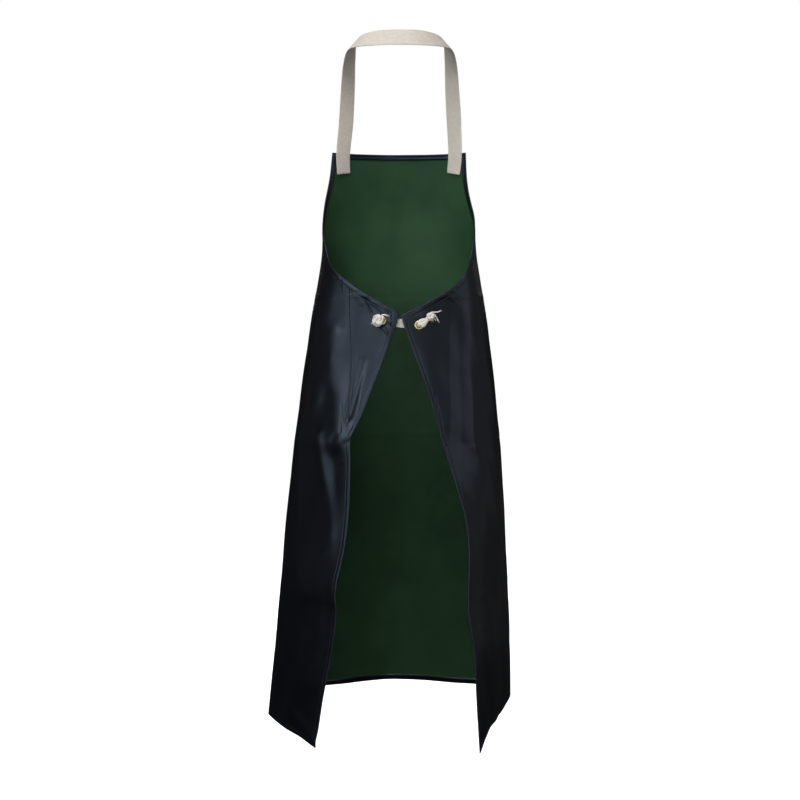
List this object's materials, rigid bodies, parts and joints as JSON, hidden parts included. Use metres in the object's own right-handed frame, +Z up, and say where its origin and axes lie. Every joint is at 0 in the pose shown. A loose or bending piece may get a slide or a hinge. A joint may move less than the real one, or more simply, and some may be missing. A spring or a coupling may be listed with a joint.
{
  "type": "vinyl bib apron",
  "caption": "Long bib apron of coated vinyl in its worn form: bib, wrap-round skirt and back wings, with a woven neck strap and a short knotted tie through brass eyelets.",
  "frame": {"origin": "middle of the neck strap's inner face at the nape, where the worn apron hangs", "axes": "+Z up as worn, the bib faces -Y, the back wings meet at +Y, +X is the left side"},
  "size_m": [0.457, 0.3494, 1.2757],
  "materials": {
    "vinyl": "satin coated vinyl sheet, navy black outside and dark green inside",
    "cotton_tape": "undyed cream cotton tape, plain woven",
    "brass": "pressed brass eyelet"
  },
  "bodies": {
    "root": {"apron_panel": "vinyl", "neck_strap": "cotton_tape", "waist_tie": "cotton_tape", "eyelet_left": "brass", "eyelet_right": "brass", "tie_knot_left": "cotton_tape", "tie_knot_right": "cotton_tape"}
  },
  "joints": []
}
